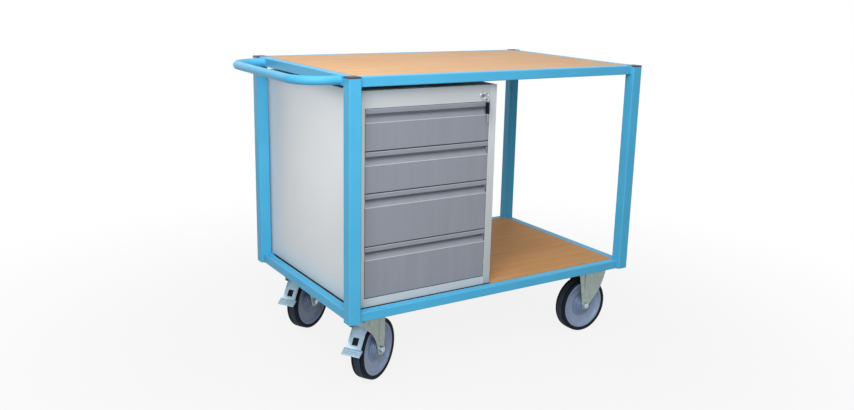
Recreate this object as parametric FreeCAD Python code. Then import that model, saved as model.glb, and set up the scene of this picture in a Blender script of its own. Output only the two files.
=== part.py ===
import FreeCAD, Part
import math
import os

# Workbench trolley: a welded frame of square tube with two decks, a push handle,
# a drawer cabinet on the lower deck, two swivel casters with brakes and two fixed ones.
# Millimetres. +X runs away from the handle, -Y is the drawer side, +Z is up. The origin
# lies on the floor, in the middle of the overall length and depth.

V = FreeCAD.Vector

# Frame of square tube, measured over the outer faces of the posts
frame_length = 1150.0
frame_depth = 735.0
deck_height = 1004.0
post_size = 40.0
post_wall = 2.0
post_radius = 4.0
rail_size = 30.0
rail_wall = 2.0
rail_radius = 3.0
cap_thickness = 5.0
cap_proud = 1.0
cap_plug_depth = 14.0
cap_plug_wall = 2.5
cap_plug_gap = 0.15
cap_edge_radius = 1.5

# Push handle of round tube
handle_diameter = 26.9
handle_wall = 2.0
handle_reach = 115.0
handle_bend = 95.0
handle_post_gap = 27.0

# Deck boards and the bars below them
board_thickness = 19.0
board_gap = 1.0
bearer_width = 40.0
bearer_thickness = 5.0
bearers_per_deck = 3
bearer_end_distance = 265.0
board_screw_diameter = 5.0
board_screw_head = 10.0
board_screw_head_height = 3.0
board_screw_bite = 14.0
board_screw_inset = 110.0

# Casters: common sizes
caster_height = 253.0
caster_inset = 115.0
mount_plate_thickness = 6.0
mount_plate_margin = 5.0
mount_plate_bearing = 5.0
plate_length = 135.0
plate_width = 110.0
plate_thickness = 4.0
bolt_spacing_x = 105.0
bolt_spacing_y = 80.0
bolt_diameter = 10.0
bolt_hole_diameter = 11.0
bolt_head_width = 17.0
bolt_head_height = 6.4
wheel_diameter = 206.0
wheel_width = 45.0
tyre_depth = 14.0
tyre_shoulder = 4.0
tyre_side_step = 2.5
rim_flange = 8.0
rim_dish = 9.0
rim_hub_draft = 2.0
rim_flange_draft = 4.0
hub_diameter = 46.0
hub_end_gap = 0.5
axle_diameter = 12.0
axle_sleeve_wall = 4.0
axle_head_width = 19.0
axle_head_height = 8.0
running_gap = 0.05
axle_hole_gap = 0.1
leg_gap = 4.5
leg_thickness = 4.0
leg_tip_radius = 19.0
leg_rib_height = 2.5
leg_rib_foot = 30.0

# Casters: swivel head and brake pedal, in the caster's own frame
swivel_trail = 52.0
swivel_yaw = 30.0
kingpin_diameter = 16.0
kingpin_head_diameter = 28.0
kingpin_head_height = 9.0
ball_diameter = 8.0
ball_circle = 68.0
ball_count = 14
ball_gap = 0.3
race_diameter = 92.0
race_gap = 2.0
race_cover = 0.5
crown_thickness = 8.5
crown_plate = 4.0
leg_front = 46.0
leg_rear_rib_width = 31.0
leg_ear_below_pin = 12.0
leg_hollow_share = 0.5
leg_hollow_depth = 19.0
pedal_pin_ahead = 18.0
pedal_pin_drop = 16.0
pedal_pin_diameter = 8.0
pedal_pin_proud = 2.0
pedal_thickness = 3.0
pedal_side_gap = 0.6
pedal_foot_width = 67.0
pedal_press_angle = 11.5
# Bends of the pedal and the ends of its window and brake pads, from the pedal pin
pedal_top = (-12.0, 8.0)
pedal_knee = (-10.0, -10.0)
pedal_heel = (-48.0, -74.0)
pedal_toe = (-69.0, -90.0)
pedal_cheek_foot = (-22.0, -30.0)
pedal_cheek_reach = 8.0
pedal_window_width = 21.0
pedal_window_z = (-63.0, -41.5)
pedal_shoe_width = 40.0
pedal_shoe_z = (-62.0, -42.0)
pedal_shoe_root = 0.5
pedal_shoe_reach = 45.0
pedal_ridge_diameter = 2.4
pedal_ridge_count = 3
pedal_ridge_sink = 0.2
shoe_gap = 0.7

# Fixed fork: the plate stands off the axle, and the outer leg edge bows out to meet it
fixed_offset = 30.0
fixed_tip_radius = 15.0
fixed_bow_x = 36.0
fixed_bow_rise = 57.0
fixed_panel_foot = (-38.0, -18.0)
fixed_panel_head = (-38.0, 34.0)

# Drawer cabinet
cab_width = 507.0
cab_side_gap = 6.5
cab_rear_setback = 20.0
cab_top_gap = 15.6
cab_front_setback = 46.5
cab_sheet = 1.5
cab_bend_radius = 2.5
stile_width = 28.0
base_strip_height = 26.8
top_rail_height = 52.6
top_rail_return = 15.0
upright_depth = 30.0
upright_rear_distance = 60.0
cab_screw_inset = 90.0
board_seat_inset = 12.0

# Drawers; the shares of the opening run from the top drawer down
drawer_shares = (7, 7, 9, 9)
drawer_gap = 3.0
drawer_side_gap = 2.0
front_thickness = 20.0
front_skin = 1.5
front_edge_radius = 2.0
lip_edge_radius = 1.2
grip_bend_radius = 4.0
lip_height = 14.5
lip_thickness = 3.0
grip_bend_drop = 42.0
grip_depth = 17.0
grip_pocket_height = 10.0
grip_slope_rise = 20.0
front_back_margin = 8.0
tray_sheet = 1.2
tray_rear_gap = 18.5
tray_floor_rise = 9.0
tray_head_room = 26.0
slide_rear_gap = 26.5
slide_overlap = 60.0
slide_height = 36.0
slide_thickness = 12.7
slide_sheet = 1.2
slide_gap = 0.6
slide_start_gap = 2.0

# Lock, key and the bar that the lock lifts
lock_from_right = 56.0
lock_from_top = 34.0
lock_rosette_diameter = 24.0
lock_rosette_height = 3.0
lock_rosette_chamfer = 1.0
lock_body_diameter = 18.0
lock_body_depth = 22.0
barrel_diameter = 12.0
cam_radius = 12.0
cam_half_swing = 45.0
cam_thickness = 2.5
cam_pin_diameter = 4.0
cam_gap = 0.3
bar_thickness = 2.0
bar_width = 14.0
bar_edge_distance = 10.0
bar_slot_gap = 0.7
bar_guide_wall = 1.5
bar_guide_gap = 0.4
bar_guide_height = 20.0
bar_guide_from_base = 60.0
bar_guide_from_top_rail = 40.0
bar_arm_wall = 5.0
key_thickness = 2.2
key_blade_height = 7.0
key_blade_depth = 18.0
key_slot_gap = 0.3
key_neck = 6.0
key_bow_diameter = 22.0
key_hole_diameter = 8.0
ring_diameter = 15.0
ring_wire = 1.6
ring_gap = 0.3

# Levels and faces that follow from the sizes above
handle_radius = handle_diameter / 2
handle_overhang = handle_reach + handle_radius
overall_length = frame_length + handle_overhang
x_left = handle_overhang - overall_length / 2
x_right = x_left + frame_length
y_front = -frame_depth / 2
y_rear = frame_depth / 2
rail_setback = post_size - rail_size
post_bottom = caster_height + mount_plate_thickness
post_top = deck_height + cap_proud - cap_thickness
lower_top = post_bottom + rail_size
upper_bottom = deck_height - rail_size

tolerance = 0.01
nodes = {}


def box(x0, y0, z0, x1, y1, z1):
    return Part.makeBox(x1 - x0, y1 - y0, z1 - z0, V(x0, y0, z0))


def rod(x, y, z, axis, diameter, length):
    return Part.makeCylinder(diameter / 2, length, V(x, y, z), V(*axis))


def hex_prism(x, y, z, axis, width, length):
    turn = FreeCAD.Rotation(V(0, 0, 1), V(*axis))
    corners = [math.radians(60 * k) for k in range(7)]
    reach = width / math.sqrt(3)
    ring = [V(reach * math.cos(a), reach * math.sin(a), 0) for a in corners]
    prism = Part.Face(Part.makePolygon(ring)).extrude(V(0, 0, length))
    prism.Placement = FreeCAD.Placement(V(x, y, z), turn)
    return prism


def edges_along(shape, axis, where=None):
    chosen = []
    for edge in shape.Edges:
        ends = [vertex.Point for vertex in edge.Vertexes]
        if len(ends) < 2 or edge.Curve.TypeId != "Part::GeomLine":
            continue
        if (ends[1] - ends[0]).normalize().cross(V(*axis)).Length > tolerance:
            continue
        if where is None or where(edge.CenterOfMass):
            chosen.append(edge)
    return chosen


def square_tube(corner0, corner1, axis, wall, radius):
    # A tube with rounded long edges, closed by what it is welded or plugged to
    along = V(*axis)
    across = V(1, 1, 1) - along
    low, high = V(*corner0), V(*corner1)
    outer = box(*low, *high)
    outer = outer.makeFillet(radius, edges_along(outer, axis))
    bore = box(*(low + across * wall), *(high - across * wall))
    if radius > wall:
        bore = bore.makeFillet(radius - wall, edges_along(bore, axis))
    return outer.cut(bore)


def prism_xz(points, y0, y1):
    ring = [V(x, y0, z) for x, z in points]
    return Part.Face(Part.makePolygon(ring + ring[:1])).extrude(V(0, y1 - y0, 0))


def prism_yz(points, x0, x1):
    ring = [V(x0, y, z) for y, z in points]
    return Part.Face(Part.makePolygon(ring + ring[:1])).extrude(V(x1 - x0, 0, 0))


def turned(points, x, z):
    # A solid turned about the Y line through (x, z) from points of radius and width
    ring = [V(radius, y, 0) for radius, y in points]
    face = Part.Face(Part.makePolygon(ring + ring[:1]))
    solid = face.revolve(V(0, 0, 0), V(0, 1, 0), 360)
    solid.translate(V(x, 0, z))
    return solid


def joined(shapes):
    first, rest = shapes[0], shapes[1:]
    return first.fuse(rest).removeSplitter() if rest else first


def placed(shape, x, y, yaw=0.0):
    copy = shape.copy()
    copy.rotate(V(0, 0, 0), V(0, 0, 1), yaw)
    copy.translate(V(x, y, 0))
    return copy


def group(solids):
    return Part.makeCompound(solids)


# Posts and their plastic caps
post_places = {
    "front_left": (x_left, y_front),
    "front_right": (x_right - post_size, y_front),
    "rear_left": (x_left, y_rear - post_size),
    "rear_right": (x_right - post_size, y_rear - post_size),
}
caps = []
for name, (x, y) in post_places.items():
    nodes["post_" + name] = square_tube(
        (x, y, post_bottom), (x + post_size, y + post_size, post_top),
        (0, 0, 1), post_wall, post_radius)
    cap = box(x, y, post_top, x + post_size, y + post_size, post_top + cap_thickness)
    cap = cap.makeFillet(post_radius, edges_along(cap, (0, 0, 1)))
    rim_edges = [e for e in cap.Edges if e.BoundBox.ZMin > post_top + cap_thickness / 2]
    cap = cap.makeFillet(cap_edge_radius, rim_edges)
    inset = post_wall + cap_plug_gap
    low, high = post_top - cap_plug_depth, post_top
    plug = box(x + inset, y + inset, low, x + post_size - inset, y + post_size - inset, high)
    plug = plug.makeFillet(post_radius - post_wall, edges_along(plug, (0, 0, 1)))
    hollow = inset + cap_plug_wall
    plug = plug.cut(box(x + hollow, y + hollow, low,
                        x + post_size - hollow, y + post_size - hollow, high))
    caps.append(cap.fuse(plug).removeSplitter())
nodes["post_caps"] = group(caps)

# Rails between the posts, flush with the posts' inner faces
for level, z in (("upper", upper_bottom), ("lower", post_bottom)):
    long_rails, end_rails = [], []
    for y in (y_front + rail_setback, y_rear - post_size):
        long_rails.append(square_tube(
            (x_left + post_size, y, z), (x_right - post_size, y + rail_size, z + rail_size),
            (1, 0, 0), rail_wall, rail_radius))
    for x in (x_left + rail_setback, x_right - post_size):
        end_rails.append(square_tube(
            (x, y_front + post_size, z), (x + rail_size, y_rear - post_size, z + rail_size),
            (0, 1, 0), rail_wall, rail_radius))
    nodes[level + "_long_rails"] = group(long_rails)
    nodes[level + "_end_rails"] = group(end_rails)

# Push handle: a bent tube whose legs lie inside the left posts and end on the end rail
handle_z = deck_height - rail_size / 2
leg_y = post_size + handle_post_gap + handle_radius
leg_start = x_left + rail_setback
bend_x = x_left - handle_reach + handle_bend
grip_x = x_left - handle_reach
bend_y = frame_depth / 2 - leg_y - handle_bend
chord = handle_bend * math.sqrt(0.5)


def handle_path():
    front, rear = y_front + leg_y, y_rear - leg_y
    front_turn = V(bend_x - chord, front + handle_bend - chord, handle_z)
    rear_turn = V(bend_x - chord, rear - handle_bend + chord, handle_z)
    points = [V(leg_start, front, handle_z), V(bend_x, front, handle_z),
              V(grip_x, -bend_y, handle_z), V(grip_x, bend_y, handle_z),
              V(bend_x, rear, handle_z), V(leg_start, rear, handle_z)]
    return Part.Wire([
        Part.makeLine(points[0], points[1]),
        Part.Arc(points[1], front_turn, points[2]).toShape(),
        Part.makeLine(points[2], points[3]),
        Part.Arc(points[3], rear_turn, points[4]).toShape(),
        Part.makeLine(points[4], points[5])])


def swept_round(diameter):
    start = V(leg_start, y_front + leg_y, handle_z)
    circle = Part.Wire(Part.makeCircle(diameter / 2, start, V(1, 0, 0)))
    return handle_path().makePipeShell([circle], True, True)


nodes["push_handle"] = swept_round(handle_diameter).cut(
    swept_round(handle_diameter - 2 * handle_wall))

# Deck boards, the bars that carry them and their screws
inner_x0, inner_x1 = x_left + post_size, x_right - post_size
inner_y0, inner_y1 = y_front + post_size, y_rear - post_size
bearer_span = frame_length - 2 * bearer_end_distance
bearer_places = [x_left + bearer_end_distance + bearer_span * k / (bearers_per_deck - 1)
                 for k in range(bearers_per_deck)]
bearers, board_screws, boards = [], [], {}
for level, top in (("upper", deck_height), ("lower", lower_top)):
    underside = top - board_thickness
    board = box(inner_x0 + board_gap, inner_y0 + board_gap, underside,
                inner_x1 - board_gap, inner_y1 - board_gap, top)
    for x in bearer_places:
        bearer = box(x - bearer_width / 2, inner_y0, underside - bearer_thickness,
                     x + bearer_width / 2, inner_y1, underside)
        for y in (inner_y0 + board_screw_inset, inner_y1 - board_screw_inset):
            head_z = underside - bearer_thickness - board_screw_head_height
            shank_length = board_screw_head_height + bearer_thickness + board_screw_bite
            shank = rod(x, y, head_z, (0, 0, 1), board_screw_diameter, shank_length)
            head = rod(x, y, head_z, (0, 0, 1), board_screw_head, board_screw_head_height)
            bearer = bearer.cut(shank)
            board = board.cut(shank)
            board_screws.append(head.fuse(shank).removeSplitter())
        bearers.append(bearer)
    boards[level] = board
nodes["board_bearers"] = group(bearers)

# Tapped caster mounting plates under the rails, and the caster bolts
caster_x = {"left": x_left + caster_inset, "right": x_right - caster_inset + fixed_offset}
caster_y = {"front": y_front + caster_inset, "rear": y_rear - caster_inset}
bolt_offsets = [(sx * bolt_spacing_x / 2, sy * bolt_spacing_y / 2)
                for sx in (-1, 1) for sy in (-1, 1)]
mount_plates, caster_bolts = [], []
plate_reach_x = plate_length / 2 + mount_plate_margin
plate_reach_y = plate_width / 2 + mount_plate_margin
for side, x in caster_x.items():
    for end, y in caster_y.items():
        inset_x = caster_inset if side == "left" else caster_inset - fixed_offset
        out_x = max(plate_reach_x, inset_x - post_size + mount_plate_bearing)
        out_y = max(plate_reach_y, caster_inset - post_size + mount_plate_bearing)
        left = out_x if side == "left" else plate_reach_x
        near = out_y if end == "front" else plate_reach_y
        plate = box(x - left, y - near, caster_height,
                    x - left + out_x + plate_reach_x, y - near + out_y + plate_reach_y,
                    post_bottom)
        for dx, dy in bolt_offsets:
            plate = plate.cut(rod(x + dx, y + dy, caster_height, (0, 0, 1),
                                  bolt_diameter, mount_plate_thickness))
            head_z = caster_height - plate_thickness - bolt_head_height
            bolt_length = post_bottom - head_z
            head = hex_prism(x + dx, y + dy, head_z, (0, 0, 1), bolt_head_width,
                             bolt_head_height)
            shank = rod(x + dx, y + dy, head_z, (0, 0, 1), bolt_diameter, bolt_length)
            caster_bolts.append(joined([head, shank]))
        mount_plates.append(plate)
nodes["caster_mount_plates"] = group(mount_plates)
nodes["caster_bolts"] = group(caster_bolts)

# Wheels: a moulded rim turning on the axle sleeve, with a rubber tyre
wheel_radius = wheel_diameter / 2
axle_z = wheel_radius
leg_inner = wheel_width / 2 + leg_gap
leg_outer = leg_inner + leg_thickness
sleeve_diameter = axle_diameter + 2 * axle_sleeve_wall
rim_radius = wheel_radius - tyre_depth
rim_half = wheel_width / 2 - tyre_side_step


def wheel_tyre(x):
    half = wheel_width / 2
    tyre = turned([(rim_radius, -rim_half), (rim_radius + tyre_side_step, -half),
                   (wheel_radius, -half), (wheel_radius, half),
                   (rim_radius + tyre_side_step, half), (rim_radius, rim_half)], x, axle_z)
    shoulders = [e for e in tyre.Edges if e.BoundBox.XLength > wheel_diameter - tolerance
                 and e.BoundBox.YLength < tolerance]
    return tyre.makeFillet(tyre_shoulder, shoulders)


def wheel_rim(x):
    bore = sleeve_diameter / 2 + running_gap
    hub = hub_diameter / 2
    hub_half = leg_inner - hub_end_gap
    web_half = rim_half - rim_dish
    flange = rim_radius - rim_flange
    quarter = [(bore, hub_half), (hub, hub_half), (hub + rim_hub_draft, web_half),
               (flange - rim_flange_draft, web_half), (flange, rim_half), (rim_radius, rim_half)]
    other = [(radius, -y) for radius, y in reversed(quarter)]
    return turned(quarter + other, x, axle_z)


def axle_set(x):
    grip = axle_head_height
    bolt = rod(x, -leg_outer - grip, axle_z, (0, 1, 0), axle_diameter, 2 * leg_outer + 2 * grip)
    head = hex_prism(x, -leg_outer - grip, axle_z, (0, 1, 0), axle_head_width, grip)
    nut = hex_prism(x, leg_outer, axle_z, (0, 1, 0), axle_head_width, grip)
    sleeve = rod(x, -leg_inner, axle_z, (0, 1, 0), sleeve_diameter, 2 * leg_inner)
    sleeve = sleeve.cut(rod(x, -leg_inner, axle_z, (0, 1, 0), axle_diameter, 2 * leg_inner))
    return [bolt.fuse(head).removeSplitter(), nut.cut(bolt), sleeve]


# Fixed casters: a top plate with two legs that lean in to the axle
def fixed_leg(y0, y1):
    plate_z = caster_height - plate_thickness
    half, axle_x = plate_length / 2, -fixed_offset
    high_in, high_out = V(-half, y0, plate_z), V(half, y0, plate_z)
    tip_in, tip_out = V(axle_x - fixed_tip_radius, y0, axle_z), V(axle_x + fixed_tip_radius, y0, axle_z)
    tip_low = V(axle_x, y0, axle_z - fixed_tip_radius)
    bow = V(fixed_bow_x, y0, axle_z + fixed_bow_rise)
    edges = [Part.makeLine(high_out, high_in), Part.makeLine(high_in, tip_in),
             Part.Arc(tip_in, tip_low, tip_out).toShape(),
             Part.Arc(tip_out, bow, high_out).toShape()]
    leg = Part.Face(Part.Wire(edges)).extrude(V(0, y1 - y0, 0))
    return leg.cut(rod(axle_x, y0, axle_z, (0, 1, 0), axle_diameter + 2 * axle_hole_gap, y1 - y0))


def fixed_fork():
    plate_z = caster_height - plate_thickness
    parts = [box(-plate_length / 2, -plate_width / 2, plate_z,
                 plate_length / 2, plate_width / 2, caster_height)]
    foot, head, panel_low = fixed_panel_foot, fixed_panel_head, axle_z + leg_rib_foot
    panel = [(foot[0], panel_low), (foot[1], panel_low), (head[1], plate_z), (head[0], plate_z)]
    for side in (-1, 1):
        parts.append(fixed_leg(*sorted((side * leg_inner, side * leg_outer))))
        parts.append(prism_xz(panel, *sorted((side * leg_outer, side * (leg_outer + leg_rib_height)))))
    fork = joined(parts)
    for dx, dy in bolt_offsets:
        fork = fork.cut(rod(dx, dy, plate_z, (0, 0, 1), bolt_hole_diameter, plate_thickness))
    return fork


fixed_forks, fixed_axles = [], []
for end, y in caster_y.items():
    place = (caster_x["right"], y)
    fixed_forks.append(placed(fixed_fork(), *place))
    nodes["fixed_wheel_rim_" + end] = placed(wheel_rim(-fixed_offset), *place)
    nodes["fixed_wheel_tyre_" + end] = placed(wheel_tyre(-fixed_offset), *place)
    fixed_axles += [placed(piece, *place) for piece in axle_set(-fixed_offset)]
nodes["fixed_forks"] = group(fixed_forks)
nodes["fixed_axles"] = group(fixed_axles)

# Swivel casters: top plate with the upper race, kingpin, balls, fork and brake pedal
race_z = caster_height - plate_thickness - ball_diameter - race_cover
crown_top = race_z - race_gap / 2
crown_bottom = crown_top - crown_thickness
crown_plate_top = crown_bottom + crown_plate
pin_x = -pedal_pin_ahead
pin_z = crown_bottom - pedal_pin_drop
leg_rear = swivel_trail + leg_tip_radius
groove = Part.makeTorus(ball_circle / 2, ball_diameter / 2 + ball_gap, V(0, 0, race_z))


def swivel_plate():
    plate_z = caster_height - plate_thickness
    plate = box(-plate_length / 2, -plate_width / 2, plate_z,
                plate_length / 2, plate_width / 2, caster_height)
    race_bottom = race_z + race_gap / 2
    race = rod(0, 0, race_bottom, (0, 0, 1), race_diameter, plate_z - race_bottom)
    top = plate.fuse(race).removeSplitter().cut(groove)
    top = top.cut(rod(0, 0, race_bottom, (0, 0, 1), kingpin_diameter, caster_height - race_bottom))
    for dx, dy in bolt_offsets:
        top = top.cut(rod(dx, dy, plate_z, (0, 0, 1), bolt_hole_diameter, plate_thickness))
    return top


def kingpin():
    head_top = crown_bottom - ball_gap
    head_bottom = head_top - kingpin_head_height
    head = hex_prism(0, 0, head_bottom, (0, 0, 1), kingpin_head_diameter, kingpin_head_height)
    shank = rod(0, 0, head_bottom, (0, 0, 1), kingpin_diameter, caster_height - head_bottom)
    return head.fuse(shank).removeSplitter()


def race_balls():
    step = 2 * math.pi / ball_count
    return [Part.makeSphere(ball_diameter / 2, V(ball_circle / 2 * math.cos(step * k),
                                                 ball_circle / 2 * math.sin(step * k), race_z))
            for k in range(ball_count)]


def swivel_leg(y0, y1):
    # The leg: a straight rear edge, a round tip and a hollow curved front edge up to the ear
    tip_back = V(swivel_trail + leg_tip_radius, y0, axle_z)
    tip_low = V(swivel_trail, y0, axle_z - leg_tip_radius)
    tip_front = V(swivel_trail - leg_tip_radius, y0, axle_z)
    ear_low = V(-leg_front, y0, pin_z - leg_ear_below_pin)
    ear_high = V(-leg_front, y0, crown_plate_top)
    back_high = V(leg_rear, y0, crown_plate_top)
    hollow = tip_front + (ear_low - tip_front) * leg_hollow_share + V(leg_hollow_depth, 0, 0)
    edges = [Part.makeLine(ear_high, back_high), Part.makeLine(back_high, tip_back),
             Part.Arc(tip_back, tip_low, tip_front).toShape(),
             Part.Arc(tip_front, hollow, ear_low).toShape(), Part.makeLine(ear_low, ear_high)]
    leg = Part.Face(Part.Wire(edges)).extrude(V(0, y1 - y0, 0))
    axle_hole = rod(swivel_trail, y0, axle_z, (0, 1, 0), axle_diameter + 2 * axle_hole_gap, y1 - y0)
    pin_hole = rod(pin_x, y0, pin_z, (0, 1, 0), pedal_pin_diameter, y1 - y0)
    return leg.cut(axle_hole).cut(pin_hole)


def swivel_fork():
    crown = rod(0, 0, crown_bottom, (0, 0, 1), race_diameter, crown_thickness)
    parts = [crown, box(-leg_front, -leg_outer, crown_bottom, leg_rear, leg_outer, crown_plate_top)]
    rib_low = axle_z + leg_rib_foot
    for side in (-1, 1):
        parts.append(swivel_leg(*sorted((side * leg_inner, side * leg_outer))))
        rib = sorted((side * leg_outer, side * (leg_outer + leg_rib_height)))
        parts.append(box(leg_rear - leg_rear_rib_width, rib[0], rib_low,
                         leg_rear, rib[1], crown_plate_top))
    bore = rod(0, 0, crown_bottom, (0, 0, 1), kingpin_diameter + 2 * running_gap, crown_thickness)
    return joined(parts).cut(groove).cut(bore)


def pedal_sheet(path, half_width):
    # A bent plate: its path of (x, z) points, thickened away from the wheel
    normals = []
    for (x0, z0), (x1, z1) in zip(path, path[1:]):
        length = math.hypot(x1 - x0, z1 - z0)
        normals.append(((z1 - z0) / length, (x0 - x1) / length))
    outer = []
    for k, (x, z) in enumerate(path):
        a, b = normals[max(k - 1, 0)], normals[min(k, len(normals) - 1)]
        spread = 1 + a[0] * b[0] + a[1] * b[1]
        outer.append((x + pedal_thickness * (a[0] + b[0]) / spread,
                      z + pedal_thickness * (a[1] + b[1]) / spread))
    return prism_xz(path + outer[::-1], -half_width, half_width)


def from_pin(offset):
    return pin_x + offset[0], pin_z + offset[1]


def brake_pedal():
    half = leg_inner - pedal_side_gap
    top, knee, heel, toe = map(from_pin, (pedal_top, pedal_knee, pedal_heel, pedal_toe))
    parts = [pedal_sheet([top, knee, heel], half), pedal_sheet([heel, toe], pedal_foot_width / 2)]
    reach = pedal_cheek_reach
    outline = [top, knee] + [from_pin(p) for p in (pedal_cheek_foot, (reach, -reach), (reach, reach))]
    for side in (-1, 1):
        parts.append(prism_xz(outline, *sorted((side * half, side * (half - pedal_thickness)))))
    run, drop = toe[0] - heel[0], toe[1] - heel[1]
    lift = pedal_thickness - pedal_ridge_sink
    for k in range(pedal_ridge_count):
        share = (k + 1) / (pedal_ridge_count + 1)
        x = heel[0] + share * run + lift * drop / math.hypot(run, drop)
        z = heel[1] + share * drop - lift * run / math.hypot(run, drop)
        parts.append(rod(x, -pedal_foot_width / 2, z, (0, 1, 0), pedal_ridge_diameter,
                         pedal_foot_width))
    lean = (heel[0] - knee[0]) / (heel[1] - knee[1])
    shoe_low, shoe_high = (pin_z + level for level in pedal_shoe_z)
    edge = [(knee[0] + lean * (z - knee[1]) - pedal_shoe_root, z) for z in (shoe_high, shoe_low)]
    shoe = prism_xz(edge + [(x + pedal_shoe_reach, z) for x, z in reversed(edge)],
                    -pedal_shoe_width / 2, pedal_shoe_width / 2)
    tread = rod(swivel_trail, -leg_inner, axle_z, (0, 1, 0), wheel_diameter + 2 * shoe_gap,
                2 * leg_inner)
    tread.rotate(V(pin_x, 0, pin_z), V(0, 1, 0), pedal_press_angle)
    shoe = shoe.cut(tread)
    window = box(heel[0], -pedal_window_width / 2, pin_z + pedal_window_z[0], swivel_trail,
                 pedal_window_width / 2, pin_z + pedal_window_z[1])
    pin_hole = rod(pin_x, -half, pin_z, (0, 1, 0), pedal_pin_diameter + 2 * running_gap, 2 * half)
    return joined(parts + [shoe]).cut(window).cut(pin_hole)


swivel_plates, bearings = [], []
for end, y in caster_y.items():
    place = (caster_x["left"], y)
    swivel_plates.append(placed(swivel_plate(), *place))
    bearings += [placed(piece, *place) for piece in [kingpin()] + race_balls()]
    nodes["swivel_fork_" + end] = placed(swivel_fork(), *place, swivel_yaw)
    pedal_pin = rod(pin_x, -leg_outer - pedal_pin_proud, pin_z, (0, 1, 0), pedal_pin_diameter,
                    2 * (leg_outer + pedal_pin_proud))
    nodes["swivel_axle_" + end] = group(
        [placed(piece, *place, swivel_yaw) for piece in axle_set(swivel_trail) + [pedal_pin]])
    nodes["swivel_wheel_rim_" + end] = placed(wheel_rim(swivel_trail), *place, swivel_yaw)
    nodes["swivel_wheel_tyre_" + end] = placed(wheel_tyre(swivel_trail), *place, swivel_yaw)
    nodes["brake_pedal_" + end] = placed(brake_pedal(), *place, swivel_yaw)
nodes["swivel_plates"] = group(swivel_plates)
nodes["swivel_bearings"] = group(bearings)

# Cabinet shell of folded sheet
cab_x0 = x_left + post_size + cab_side_gap
cab_x1 = cab_x0 + cab_width
cab_y0 = y_front + cab_front_setback
cab_y1 = y_rear - cab_rear_setback
cab_z0 = lower_top
cab_z1 = upper_bottom - cab_top_gap
opening_height = cab_z1 - cab_z0 - base_strip_height - top_rail_height
drawer_pitches = [opening_height * share / sum(drawer_shares) for share in drawer_shares]
open_x0, open_x1 = cab_x0 + stile_width, cab_x1 - stile_width
in_x0, in_x1 = cab_x0 + cab_sheet, cab_x1 - cab_sheet
lock_x = cab_x1 - lock_from_right
lock_z = cab_z1 - lock_from_top
cam_y = cab_y0 + lock_body_depth + cam_gap
bar_y = cam_y + cam_thickness + cam_gap
upright_y = bar_y + bar_thickness + bar_guide_gap


def side_panel(outer, inner, stile_edge):
    # A side sheet whose front edge is folded round into the stile
    wall = box(min(outer, inner), cab_y0, cab_z0, max(outer, inner), cab_y1, cab_z1)
    stile = box(min(outer, stile_edge), cab_y0, cab_z0,
                max(outer, stile_edge), cab_y0 + cab_sheet, cab_z1)
    panel = wall.fuse(stile).removeSplitter()
    fold = edges_along(panel, (0, 0, 1),
                       lambda c: math.hypot(c.x - outer, c.y - cab_y0) < tolerance)
    return panel.makeFillet(cab_bend_radius, fold)


bar_x0 = cab_x1 - bar_edge_distance - bar_width
bar_x1 = bar_x0 + bar_width
bar_guides = []
for z in (cab_z0 + bar_guide_from_base, cab_z1 - top_rail_height - bar_guide_from_top_rail):
    gap, wall = bar_guide_gap, bar_guide_wall
    strap = box(bar_x0 - gap - wall, bar_y - gap - wall, z,
                bar_x1 + gap + wall, upright_y, z + bar_guide_height)
    bar_guides.append(strap.cut(box(bar_x0 - gap, bar_y - gap, z,
                                    bar_x1 + gap, upright_y, z + bar_guide_height)))
nodes["cabinet_side_left"] = side_panel(cab_x0, in_x0, open_x0)
nodes["cabinet_side_right"] = side_panel(cab_x1, in_x1, open_x1)
nodes["cabinet_back"] = box(in_x0, cab_y1 - cab_sheet, cab_z0 + cab_sheet,
                            in_x1, cab_y1, cab_z1 - cab_sheet)
nodes["cabinet_top"] = box(in_x0, cab_y0 + cab_sheet, cab_z1 - cab_sheet, in_x1, cab_y1, cab_z1)
base_floor = box(in_x0, cab_y0 + cab_sheet, cab_z0, in_x1, cab_y1, cab_z0 + cab_sheet)
base_strip = box(open_x0, cab_y0, cab_z0, open_x1, cab_y0 + cab_sheet, cab_z0 + base_strip_height)
cab_base = base_floor.fuse(base_strip).removeSplitter()
top_rail_z = cab_z1 - top_rail_height
fascia = box(open_x0, cab_y0, top_rail_z, open_x1, cab_y0 + cab_sheet, cab_z1)
fascia_return = box(open_x0, cab_y0, top_rail_z, open_x1, cab_y0 + top_rail_return,
                    top_rail_z + cab_sheet)
lock_hole = rod(lock_x, cab_y0, lock_z, (0, 1, 0), lock_body_diameter, lock_body_depth)
nodes["cabinet_top_rail"] = fascia.fuse(fascia_return).removeSplitter().cut(lock_hole)

# Uprights that carry the drawer slides, with the lock bar's guide straps on one
uprights = []
upright_rear_y = cab_y1 - cab_sheet - upright_rear_distance
for x0, x1 in ((in_x0, open_x0), (open_x1, in_x1)):
    for y in (upright_y, upright_rear_y):
        upright = box(x0, y, cab_z0 + cab_sheet, x1, y + upright_depth, cab_z1 - cab_sheet)
        core = box(x0 + cab_sheet, y + cab_sheet, cab_z0 + cab_sheet,
                   x1 - cab_sheet, y + upright_depth - cab_sheet, cab_z1 - cab_sheet)
        upright = upright.cut(core)
        if y == upright_y and x1 == in_x1:
            upright = joined([upright] + bar_guides)
        uprights.append(upright)
nodes["slide_uprights"] = group(uprights)

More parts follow.
